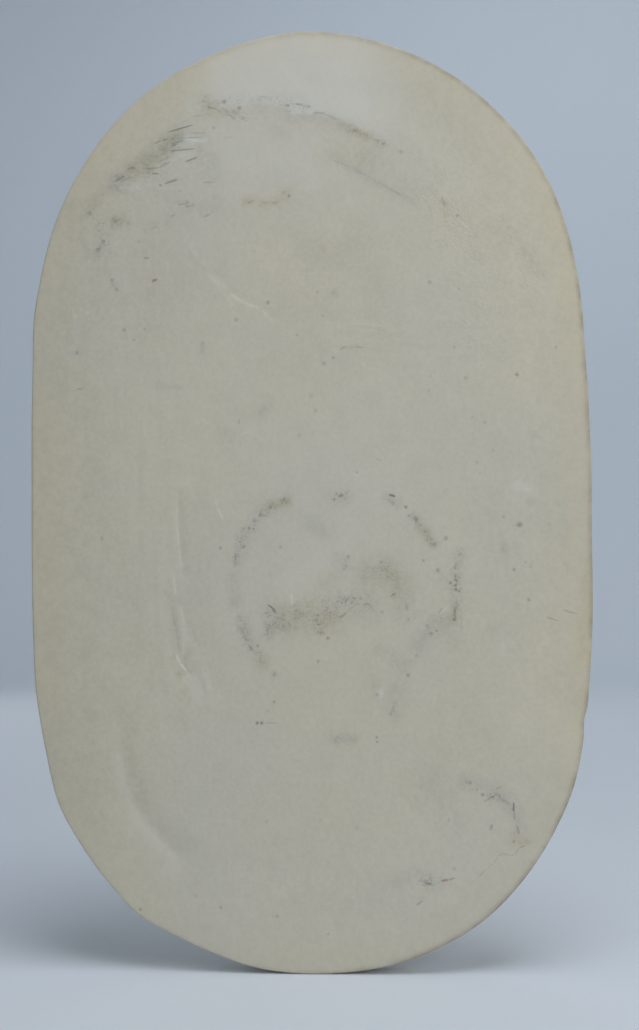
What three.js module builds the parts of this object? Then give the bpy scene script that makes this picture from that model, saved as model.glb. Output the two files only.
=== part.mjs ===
// Cast plaster wall plaque: one solid slab with a tall rounded outline, cut by hand and a little uneven.
// Millimetres, +Z up. The origin is the middle of the flat side that lies on the wall, so the wall is at +Y,
// and the rubbed and stained side that is seen faces -Y.
import * as THREE from 'three';
import { mergeVertices } from 'three/addons/utils/BufferGeometryUtils.js';

// Driving sizes of the slab
const halfWidth = 115.7;
const halfHeight = 195.5;
const thickness = 18;

// The outline is |x / halfWidth| ^ sidePower + |z / halfHeight| ^ endPower = 1:
// gently bowed sides that run without a corner into broad round ends.
const sidePower = 1.74;
const endPower = 3.82;

// Where the hand-cut edge leaves that even curve. Each place has its direction from the middle, in degrees
// counter-clockwise from +X, how far round it reaches on either side, and how far out or in it goes in mm.
const edgeDepartures = [
  { at: 5, reach: 10, out: 0.4 },
  { at: 27, reach: 6, out: -0.5 },
  { at: 62, reach: 7, out: -0.7 },
  { at: 86, reach: 11, out: 0.7 },
  { at: 122, reach: 9, out: -1.2 },
  { at: 146, reach: 5, out: 0.9 },
  { at: 214, reach: 5, out: 0.4 },
  { at: 230, reach: 4.5, out: 1.3 },
  { at: 247, reach: 3, out: 0.9 },
  { at: 257, reach: 6, out: -1.5 },
  { at: 270, reach: 8, out: -2.5 },
  { at: 291, reach: 7, out: 0.8 },
  { at: 312, reach: 4, out: 0.6 },
  { at: 327, reach: 7, out: -0.4 },
];

// A chip broken out of the right-hand edge
const chip = { at: 320.5, reach: 1.5, out: -1 };

// Section of the edge: an eased corner on the seen side, a wall that leans in, a rounder corner at the wall side
const seenCornerRadius = 1;
const wallCornerRadius = 3;
const wallLean = 1.2;
const seenCornerSteps = 3;
const wallCornerSteps = 4;

// The seen side is a low cushion. Its field is level and the band round it falls away to the edge.
const bandWidth = 34;
const bandStepWidth = 12;
const bandStepDrop = 0.3;
const bandEdgeDrop = 0.7;

// A shallow hollow drawn by the trowel, running down the left of the seen side
const hollowTop = new THREE.Vector2(-59, 2);
const hollowMiddle = new THREE.Vector2(-57, -40);
const hollowBottom = new THREE.Vector2(-41, -86);
const hollowHalfWidth = 8;
const hollowDepth = 0.3;

// Cells of the mesh on each broad side
const cellsAcross = 28;
const cellsUp = 44;

// The distance from the middle to the even curve in one direction, found by halving
function evenRadius(angle) {
  const acrossShare = Math.abs(Math.cos(angle)) / halfWidth;
  const upShare = Math.abs(Math.sin(angle)) / halfHeight;
  let inside = 0;
  let outside = halfWidth + halfHeight;
  for (let step = 0; step < 40; step++) {
    const middle = (inside + outside) / 2;
    const sum = (middle * acrossShare) ** sidePower + (middle * upShare) ** endPower;
    if (sum < 1) inside = middle;
    else outside = middle;
  }
  return inside;
}

// A departure fades like a bell to both sides of its place
function departureAt(departure, angle) {
  const degrees = THREE.MathUtils.radToDeg(angle);
  const away = THREE.MathUtils.euclideanModulo(degrees - departure.at + 180, 360) - 180;
  return departure.out * Math.exp(-((away / departure.reach) ** 2));
}

function edgeRadius(angle) {
  let radius = evenRadius(angle) + departureAt(chip, angle);
  for (const departure of edgeDepartures) radius += departureAt(departure, angle);
  return radius;
}

// The edge's section from the seen side to the wall side, as steps of inset from the outline and depth
function edgeSection() {
  const steps = [];
  for (let i = 0; i <= seenCornerSteps; i++) {
    const turn = (i / seenCornerSteps) * (Math.PI / 2);
    steps.push({
      inset: seenCornerRadius * (1 - Math.sin(turn)),
      depth: seenCornerRadius * (1 - Math.cos(turn)),
    });
  }
  for (let i = 0; i <= wallCornerSteps; i++) {
    const turn = (i / wallCornerSteps) * (Math.PI / 2);
    steps.push({
      inset: wallLean + wallCornerRadius * (1 - Math.cos(turn)),
      depth: thickness - wallCornerRadius * (1 - Math.sin(turn)),
    });
  }
  return steps;
}

// Distance from a point to the hollow's line, and how far along the line the nearest place is, from 0 to 1
function nearestInHollow(point) {
  const curve = new THREE.QuadraticBezierCurve(hollowTop, hollowMiddle, hollowBottom);
  let best = { distance: Infinity, along: 0 };
  for (let i = 0; i <= 24; i++) {
    const distance = curve.getPoint(i / 24).distanceTo(point);
    if (distance < best.distance) best = { distance, along: i / 24 };
  }
  return best;
}

// How far the seen side lies behind its highest level. "toEdge" is the distance in from the outline.
function seenSideDrop(x, z, toEdge) {
  const inBand = THREE.MathUtils.clamp(1 - toEdge / bandWidth, 0, 1);
  const step = THREE.MathUtils.smoothstep(bandWidth - toEdge, 0, bandStepWidth);
  const hollow = nearestInHollow(new THREE.Vector2(x, z));
  const dip = Math.sin(Math.PI * hollow.along) * Math.exp(-((hollow.distance / hollowHalfWidth) ** 2));
  return bandStepDrop * step + bandEdgeDrop * inBand ** 2 + hollowDepth * dip;
}

// Every vertex of a box from -1 to 1 moves to its place on the slab. The box's two broad sides become the seen
// side and the wall side, and the strips between them become the section of the edge.
function slabGeometry() {
  const section = edgeSection();
  const sectionSteps = section.length - 1;
  const box = new THREE.BoxGeometry(2, 2, 2, cellsAcross, sectionSteps, cellsUp);
  const place = box.attributes.position;
  for (let i = 0; i < place.count; i++) {
    const across = place.getX(i);
    const up = place.getZ(i);
    const level = Math.round(((place.getY(i) + 1) / 2) * sectionSteps);
    const { inset, depth } = section[level];
    const ring = Math.max(Math.abs(across), Math.abs(up));
    const angle = Math.atan2(up * halfHeight, across * halfWidth);
    const edge = edgeRadius(angle);
    const radius = (edge - inset) * ring;
    const x = radius * Math.cos(angle);
    const z = radius * Math.sin(angle);
    const towardWall = depth / thickness;
    const drop = seenSideDrop(x, z, edge - radius) * (1 - towardWall);
    place.setXYZ(i, x, depth - thickness + drop, z);
  }
  box.deleteAttribute('normal');
  box.deleteAttribute('uv');
  const slab = mergeVertices(box, 1e-4);
  slab.computeVertexNormals();
  return slab;
}

const castPlaster = new THREE.MeshStandardMaterial({ color: '#cfccb8', roughness: 0.85, metalness: 0 });

const plaque = new THREE.Mesh(slabGeometry(), castPlaster);
plaque.name = 'plaque';

const wallPlaque = new THREE.Group();
wallPlaque.add(plaque);

export default wallPlaque;
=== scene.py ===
"""A cast plaster wall plaque, seen on the side that was struck off by hand while the plaster set, then
rubbed and stained by years of lying about. Lengths on the plaque are millimetres, with x to the right and
z up as it is seen. The floor and the lights round it are in metres."""
import math

import bpy
import numpy as np
from mathutils import Euler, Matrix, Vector, noise


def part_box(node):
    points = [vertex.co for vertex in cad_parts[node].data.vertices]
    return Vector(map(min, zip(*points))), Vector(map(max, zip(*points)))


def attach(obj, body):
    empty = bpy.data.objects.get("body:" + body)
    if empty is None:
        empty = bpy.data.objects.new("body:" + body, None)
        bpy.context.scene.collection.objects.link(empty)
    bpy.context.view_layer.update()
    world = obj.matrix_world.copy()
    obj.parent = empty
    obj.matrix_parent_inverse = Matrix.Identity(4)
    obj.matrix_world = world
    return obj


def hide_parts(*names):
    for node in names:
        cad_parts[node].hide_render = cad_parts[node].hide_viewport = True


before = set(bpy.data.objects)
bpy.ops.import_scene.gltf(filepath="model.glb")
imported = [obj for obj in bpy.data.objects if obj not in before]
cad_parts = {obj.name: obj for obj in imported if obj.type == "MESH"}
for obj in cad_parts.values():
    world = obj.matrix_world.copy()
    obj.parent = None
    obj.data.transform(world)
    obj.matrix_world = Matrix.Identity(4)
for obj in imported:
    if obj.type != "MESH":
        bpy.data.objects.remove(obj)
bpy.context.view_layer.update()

MM = 0.001
plaque_low, plaque_high = (np.array(corner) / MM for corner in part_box("plaque"))
seen_level = plaque_low[1]
floor_level = plaque_low[2]

# Driving sizes of the slab, as the solid has them
half_width = 115.7
half_height = 195.5
thickness = 18

# The outline is |x / half_width| ^ side_power + |z / half_height| ^ end_power = 1:
# gently bowed sides that run without a corner into broad round ends
side_power = 1.74
end_power = 3.82

# Where the hand-cut edge leaves its even curve: degrees counter-clockwise from +X, reach to either side in
# degrees, and how far out it goes in mm
edge_departures = [
    (5, 10, 0.4), (27, 6, -0.5), (62, 7, -0.7), (86, 11, 0.7), (122, 9, -1.2),
    (146, 5, 0.9), (214, 5, 0.4), (230, 4.5, 1.3), (247, 3, 0.9), (257, 6, -1.5),
    (270, 8, -2.5), (291, 7, 0.8), (312, 4, 0.6), (327, 7, -0.4),
]
edge_chip = (320.5, 1.5, -1)

# Section of the edge: an eased corner on the seen side, an edge that leans in, and a rounder corner at the
# wall side
seen_corner_radius = 1
wall_corner_radius = 3
wall_lean = 1.2

# The seen side is a low cushion. Its field is level and the band round it falls away to the edge.
band_width = 34
band_step_width = 12
band_step_drop = 0.3
band_edge_drop = 0.7

# A shallow hollow drawn by the trowel, as (x, z) of its top, middle and bottom
hollow_line = [(-59, 2), (-57, -40), (-41, -86)]
hollow_half_width = 8
hollow_depth = 0.3
hollow_steps = 24

# Unevenness of the struck-off plaster: height and width of its hills in mm, and where its noise is read
waves = [(0.35, 45, 3.1), (0.12, 9, 8.7), (0.035, 3.2, 5.3)]

# Strokes of the trowel: where they lie, half width of the field, slope in degrees, and height in mm
strokes = [
    ([(-70, 95), (-64, 30), (-62, -40), (-56, -90)], 16, 92, 0.1),
    ([(50, 128), (72, 108), (98, 80)], 13, -46, 0.06),
    ([(14, 68), (60, 62)], 10, -4, 0.1),
    ([(58, -62), (62, -100)], 12, 88, 0.06),
    ([(-35, 38), (0, 30)], 9, 12, 0.06),
]
stroke_length = 60
stroke_width = 3

# The bend of the long crease at the lower left, which its three grooves share
crease_turn = [(-69.5, -129), (-61.5, -138)]

# Ridges and grooves left by the trowel: path, half width and height in mm
trowel_marks = [
    ([(-53.3, 3), (-52.8, -17), (-51.3, -31)], 1.4, -0.3),
    ([(-54.8, -30), (-53.9, -42)], 1.3, -0.25),
    ([(-52.3, -44), (-49.6, -53), (-46.8, -60)], 1.3, -0.2),
    ([(-53.3, -46), (-52.6, -55), (-52.3, -61.5)], 1.4, 0.25),
    ([(-53.2, -64.5), (-51.5, -68), (-48.5, -71)], 1.4, -0.3),
    ([(-54.7, -63.5), (-53.3, -67), (-50.5, -69.8)], 1.2, 0.25),
    ([(-48, -58), (-45, -66), (-42, -75), (-40, -86)], 1.6, 0.15),
    ([(-47.5, 105.5), (-44.5, 101), (-41, 98)], 1.2, 0.15),
    ([(-37, 94), (-31.5, 88), (-27.5, 84.5), (-22.5, 82.2), (-18, 80.4), (-12, 74)], 1.3, -0.16),
    ([(-78.5, -93), (-77, -104), (-76, -112), (-74.5, -119), *crease_turn, (-55, -144)], 6.5, -0.55),
    ([(-76.5, -108), (-75, -118), *crease_turn, (-54, -145)], 2.8, -0.16),
    ([*crease_turn, (-54, -145), (-44, -149), (-18, -152)], 6, -0.2),
    ([(18, 72), (32, 70.5)], 1.2, 0.12),
    ([(22, 69.5), (33, 68)], 1.1, -0.12),
    ([(20, 60), (40, 59)], 1.2, -0.1),
]

# The top has stayed clean above this line. The clean part begins between the first pair of x and ends
# between the second, and it fades over these widths at the line and at the plaque's rim.
clean_edge = [
    (-60, 150), (-52, 158), (-41, 165), (-16, 165), (3, 162),
    (15, 158), (27, 151.5), (36, 147.5), (45, 142),
]
clean_start = (-54, -30)
clean_end = (18, 50)
clean_edge_blur = 1.5
clean_rim_blur = 4

# Stains, rubbed places and painted shade and highlights, by what they are: path, half width in mm and
# strength
stains = {
    # Dirt caught in the pores, which shows as dark specks close together
    "specked": [
        ([(-90, 122), (-83, 112), (-86.5, 105)], 3, 0.6),
        ([(-80, 118), (-75, 116)], 3.5, 0.5),
        ([(-80, 136), (-74, 139.5), (-68, 140)], 2.5, 0.5),
        ([(-77, 132), (-66, 135), (-58, 140)], 5, 0.45),
        ([(-61, 150.5), (-54, 152)], 1.5, 0.5),
        ([(-55, 119.5), (-49, 124)], 2, 0.4),
        ([(-42, 118), (-34, 123.5)], 2.5, 0.35),
        ([(-64, 114), (-55, 114.5)], 1.5, 0.4),
        ([(-40, 165.5), (-33, 167), (-26, 164.5)], 3, 0.62),
        ([(-28, 167.5), (-16, 168), (-4, 165)], 3, 0.5),
        ([(-6, 164), (3, 163.7)], 1.2, 0.7),
        ([(20, 153), (27, 150.7)], 1.2, 0.65),
        ([(28, 148.5), (36, 147)], 1.8, 0.6),
        ([(41, 143.5), (50, 138)], 1.8, 0.4),
        ([(57.5, 123), (58.5, 120)], 1.2, 0.8),
        ([(-17, 123.5), (-11, 123.3)], 1.2, 0.5),
        ([(-12, 127), (-6.5, 127.5)], 1.3, 0.6),
        ([(-9, 0), (-14, -2), (-18, -6), (-22, -9.5)], 2.3, 0.62),
        ([(-22, -10), (-26, -13), (-29, -22)], 3.2, 0.55),
        ([(-26, -19.5), (-29, -22), (-29.7, -28)], 1.5, 0.6),
        ([(-31, -31), (-30.5, -37), (-30, -43)], 1.5, 0.45),
        ([(-28, -48), (-26.5, -55), (-23, -60.5), (-18, -68)], 2.8, 0.65),
        ([(11.5, -0.5), (16.5, 1.3)], 2.6, 0.85),
        ([(5, -10.5), (7, -14)], 2, 0.3),
        ([(32.5, -0.5), (36, -2.5)], 1.6, 0.7),
        ([(43, -7), (46, -11), (51.5, -19.5)], 1.5, 0.6),
        ([(62, -23.5), (60.3, -28), (60.3, -39)], 2.6, 0.72),
        ([(60.5, -40), (60, -50)], 1.8, 0.6),
        ([(61.5, -50), (61, -57)], 1.0, 0.4),
        ([(-15, -50), (-17.5, -56)], 1.8, 0.7),
        ([(-13, -50), (-4, -46), (8, -46)], 6.5, 0.64),
        ([(3, -46), (5, -55.5)], 2.4, 0.7),
        ([(6, -43), (16, -42), (24, -44)], 4.5, 0.72),
        ([(10, -38), (12, -35)], 1.5, 0.5),
        ([(25, -31), (33, -29.5), (37, -35), (36, -43)], 4.5, 0.47),
        ([(26, -35), (30, -36)], 2, 0.5),
        ([(39, -42), (41, -47)], 1.5, 0.5),
        ([(48, -54), (58, -48)], 1.6, 0.35),
        ([(43, -62), (35, -72), (37, -80), (33.5, -88)], 2, 0.4),
        ([(15, -28), (17, -24)], 1.5, 0.45),
        ([(63, -116.5), (69, -120), (76, -121.5)], 1.8, 0.8),
        ([(76, -122), (81.5, -126)], 2, 0.6),
        ([(81.5, -127), (83, -136)], 1.8, 0.7),
        ([(44, -156), (50, -155)], 2, 0.85),
        ([(34, -156), (42, -151)], 3, 0.25),
        ([(43, -165), (45, -162.5)], 1.3, 0.5),
        ([(10, -98.5), (17, -98)], 1.2, 0.5),
        ([(14, -97.5), (20, -98.5)], 1.6, 0.35),
        ([(14, 61.5), (24, 62)], 1.2, 0.5),
        ([(-20, 36), (-14, 41)], 2.5, 0.25),
        ([(86, -25.5), (91, -28.5)], 1.5, 0.45),
        ([(77, -10), (80.5, -21)], 2, 0.25),
    ],
    # Dirt wiped along by what lay on the plaster, in dashes that rise to the right
    "wiped": [
        ([(-78, 134.5), (-71, 138.5), (-64, 141), (-58, 145), (-52, 150)], 4.5, 0.62),
        ([(-62, 134), (-52, 139), (-44, 144)], 4.5, 0.35),
        ([(-55, 160), (-42, 161.5)], 2.5, 0.4),
        ([(-50, 124), (-46, 123.5)], 1.3, 0.6),
        ([(-46, 136), (-37, 134)], 3.5, 0.3),
    ],
    # The same in dashes that fall to the right, with one line of painted shade under a small step
    "trailed": [
        ([(-41, 168), (-34, 164), (-24, 160.5)], 4, 0.65),
        ([(-29, 163), (-15, 158.5)], 3, 0.35),
        ([(0, 160.5), (9, 159.5), (18, 156), (27, 151.5)], 1.2, 0.65),
        # Painted shade under a small step at the upper right
        ([(24, 135.5), (34, 129.5), (43, 123)], 1.3, 0.4),
        ([(30, 68), (45, 66)], 5, 0.15),
    ],
    # A soft grey veil of worn-in dirt, and painted shade along the long groove, the lower-left crease and a
    # small step at the upper right
    "greyed": [
        ([(-79, 134.5), (-71, 139.5), (-64, 144), (-57, 149), (-51, 152)], 4.8, 0.62),
        ([(-73, 132), (-60, 136)], 7, 0.22),
        ([(-82, 133), (-88, 126), (-90, 122)], 3, 0.45),
        ([(-78, 118), (-83, 112), (-86, 107)], 3, 0.36),
        ([(-39, 144), (-37, 134)], 4, 0.22),
        ([(-42, 121), (-36, 124)], 3.5, 0.3),
        ([(-65, 115), (-56, 118)], 3, 0.25),
        ([(-52, 125), (-47, 123)], 3, 0.3),
        ([(-40, 166), (-28, 165), (-10, 166), (0, 164.5)], 4, 0.2),
        ([(-5, 159), (10, 158.5), (22, 153.5), (32, 147)], 3, 0.28),
        # Painted shade under a small step at the upper right
        ([(12, 141.5), (26, 134), (38, 126), (46, 121.5)], 2.2, 0.35),
        ([(-60, 118), (-30, 120)], 6, 0.07),
        ([(-8, 0), (-15, -3), (-22, -9), (-27, -18), (-30, -30), (-30, -42)], 3, 0.36),
        ([(-27, -50), (-24, -58), (-19, -66)], 2.8, 0.45),
        ([(12, 0), (17, 0)], 2.5, 0.35),
        ([(33, 0), (37, -3)], 2.3, 0.4),
        ([(44, -8), (47, -12), (52, -19)], 2, 0.62),
        ([(62, -24), (60.5, -32), (60.5, -50)], 2.6, 0.5),
        ([(-15, -46), (-16, -55)], 3.5, 0.4),
        ([(-12, -50), (5, -48), (16, -44), (24, -43)], 6.5, 0.38),
        ([(24, -31), (33, -29), (37, -35), (40, -46)], 6, 0.3),
        ([(56, -50), (46, -60), (37, -70), (34, -88)], 4, 0.27),
        ([(60, -50), (52, -52), (44, -62)], 3.5, 0.4),
        ([(10, -98.3), (18, -98.3)], 2, 0.5),
        ([(13, -24), (16, -29)], 2.5, 0.35),
        ([(2, -10), (7, -14)], 4, 0.25),
        ([(29, -62), (36, -66)], 3.5, 0.3),
        ([(63, -116), (76, -120), (82, -127), (84, -136)], 4, 0.35),
        ([(34, -155), (42, -152), (50, -156)], 4.5, 0.32),
        ([(8.2, 104), (8.4, 103.5)], 2, 0.5),
        ([(12.3, 85), (12.6, 84.6)], 2, 0.5),
        ([(-61, 48), (-52, 47.5)], 1.4, 0.35),
        ([(-42.5, 65.5), (-42.7, 61)], 0.9, 0.55),
        ([(-35, 26), (-30, 27)], 3.5, 0.22),
        ([(-18, 36), (-15, 40)], 2.5, 0.3),
        ([(80, -20), (80, -22)], 2, 0.45),
        ([(91, -2.5), (92, -3)], 1.5, 0.4),
        ([(93.5, 24.5), (95, 24.5)], 1.3, 0.35),
        ([(-92.5, 3), (-91, 3)], 1.8, 0.3),
        ([(-95.5, 62), (-96, 63)], 1.3, 0.5),
        ([(-80.5, 93), (-78.7, 89)], 1.4, 0.5),
        ([(-14, -71.5), (-14, -72)], 1.3, 0.45),
        ([(15, 62), (20, 62)], 1.5, 0.35),
        ([(-96, 122), (-92, 112), (-86, 103)], 8, 0.3),
        ([(-100, 92), (-80, 82), (-62, 92)], 14, 0.06),
        ([(4, 100), (22, 103)], 10, 0.22),
        ([(78, 122), (84, 108)], 7, 0.12),
        ([(82, 114), (90, 102), (98, 89)], 2.2, 0.26),
        ([(-44, 152), (-42, 138)], 5, 0.22),
        ([(-66, 132), (-52, 126)], 4, 0.22),
        ([(48, -118), (56, -132)], 9, 0.3),
        ([(26, -138), (28, -145)], 5, 0.14),
        ([(-100, -12), (-98, -22)], 8, 0.17),
        ([(8, -36), (14, -32)], 4, 0.22),
        ([(16, -46), (26, -48)], 5, 0.28),
        ([(55, -34), (57, -36)], 3, 0.3),
        ([(56, -52), (60, -58)], 4, 0.25),
        ([(24, -70), (26, -80)], 4, 0.22),
        ([(85, -60), (78, -54)], 5, 0.16),
        ([(100, -72), (108, -80)], 6, 0.16),
        ([(101, -5), (106, -30)], 5, 0.14),
        ([(-88, 128), (-106, 60), (-110, -20), (-96, -112)], 24, 0.1),
        ([(-38, -158), (-20, -164), (30, -164), (60, -140)], 26, 0.12),
        # Painted shade on the long groove's shaded wall
        ([(-57, -36), (-54, -55), (-50, -70)], 3, 0.3),
        # Painted shade on the shaded wall of the lower-left crease
        ([(-75, -94), (-73.5, -110), (-70, -122)], 4.5, 0.2),
        # Painted shade on the right flank of the shallow hollow
        ([(-46, 0), (-45, -40), (-41, -72)], 6, 0.1),
        ([(-66, 134), (-50, 134)], 3, 0.22),
        ([(-78, 139), (-70, 141)], 2.5, 0.2),
        ([(26, 140), (48, 126)], 5, 0.16),
        ([(72, -2), (80, -20)], 8, 0.12),
        ([(-4, 122), (2, 60)], 14, 0.09),
    ],
    # Old oil or varnish soaked in, yellow to olive
    "yellowed": [
        ([(-72, 139.5), (-63, 143)], 3.5, 0.9),
        ([(-62, 145), (-55, 150)], 3.5, 0.7),
        ([(-59, 152), (-53, 152.5)], 1.8, 0.9),
        ([(-85, 130), (-88, 125)], 3, 0.5),
        ([(-79, 118), (-75, 117)], 3, 0.6),
        ([(-41, 168), (-35, 163)], 3.5, 0.5),
        ([(-12, 154), (-8, 153)], 3, 0.3),
        ([(17, 154.5), (21, 153), (27, 150)], 2, 0.7),
        ([(12, 144), (25, 142)], 6, 0.25),
        ([(-24, 124), (-21, 125)], 1.8, 0.7),
        ([(-17, 123), (-11, 123.5), (-7, 127.5)], 2.2, 0.6),
        ([(58, 121), (58.5, 116)], 1.8, 0.6),
        ([(-16, -3), (-8, -1)], 2, 0.9),
        ([(46.5, -13), (51, -19)], 1.8, 0.8),
        ([(60, -46), (59.5, -51)], 1.5, 1.0),
        ([(-13, -52), (-9, -53)], 3, 0.5),
        ([(-8, -48), (3, -48), (8, -50)], 6, 0.55),
        ([(26, -32), (34, -33), (38, -38)], 6, 0.5),
        ([(-18, -66), (-20, -67)], 2.5, 0.6),
        ([(-53.5, -71.5), (-53.3, -72)], 1.5, 1.0),
        ([(-51, -78), (-50, -82)], 1.8, 0.5),
        ([(82, -139.5), (87, -140)], 2, 0.6),
        ([(113, -28), (112.5, -45), (110, -66)], 2.8, 0.5),
        ([(90.5, -28.5), (90.7, -28.7)], 1.2, 0.7),
        ([(-62, 100), (-64, 70)], 15, 0.22),
        ([(-100, 98), (-100, 66)], 8, 0.26),
        ([(-62, 165), (-84, 138), (-98, 104)], 20, 0.18),
        ([(-92, 92), (-66, 74)], 16, 0.16),
        ([(66, 80), (74, 20)], 14, 0.09),
        ([(-96, 120), (-106, 40), (-106, -40), (-94, -112)], 28, 0.2),
        ([(88, 112), (102, 30), (102, -30), (98, -62)], 24, 0.15),
        ([(56, 166), (70, 148), (80, 128)], 9, 0.25),
        ([(-80, -15), (-72, -60)], 18, 0.18),
        ([(60, -50), (66, -104)], 17, 0.14),
        ([(30, 88), (32, 62)], 9, 0.14),
        ([(-70, 158), (-62, 166)], 6, 0.2),
    ],
    # Plaster rubbed clean and whiter, and a painted highlight on the lit wall of the lower-left crease
    "whitened": [
        ([(-49, 151.8), (-41, 150.8)], 1.4, 1.0),
        ([(-54, 149.5), (-46, 150)], 1.5, 0.6),
        ([(-4, 161), (4.5, 161.3)], 0.9, 1.0),
        ([(-5, 162.7), (0, 162.5)], 1.2, 0.6),
        ([(-52, 145.5), (-47, 144.7)], 1.6, 0.35),
        ([(-74, 132), (-66, 132)], 3, 0.35),
        ([(-5, 15), (20, 5), (10, -20)], 20, 0.12),
        ([(-48, -75), (-44, -80)], 5, 0.2),
        ([(86, 4), (91, 2)], 2.2, 0.35),
        ([(29.3, -79.3), (29.5, -79.6)], 1.1, 1.0),
        ([(54.3, -47.2), (55.8, -46)], 0.9, 0.7),
        ([(79, -62), (83, -60)], 3, 0.2),
        ([(12, -22), (2, -27), (-6, -34)], 7, 0.22),
        ([(-28, 146), (0, 141)], 17, 0.3),
        ([(-38, -160), (-20, -168), (30, -168), (56, -146)], 26, 0.24),
        # Painted highlight on the lit wall of the lower-left crease
        ([(-79, -106), (-77, -119), (-72, -131), (-64, -140), (-56, -147)], 2.4, 0.25),
    ],
    # Skin of the plaster left rough, in short ripples
    "rippled": [
        ([(56, 128), (66, 100), (72, 76), (70, 64)], 14, 1.0),
        ([(80, 92), (98, 84)], 12, 0.8),
        ([(62, 134), (80, 118), (94, 96)], 10, 0.7),
        ([(-18, 100), (-2, 88)], 9, 0.4),
        ([(24, 69), (36, 68)], 8, 0.5),
        ([(-50, -108), (-30, -118), (-12, -128)], 14, 0.4),
    ],
}
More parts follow.
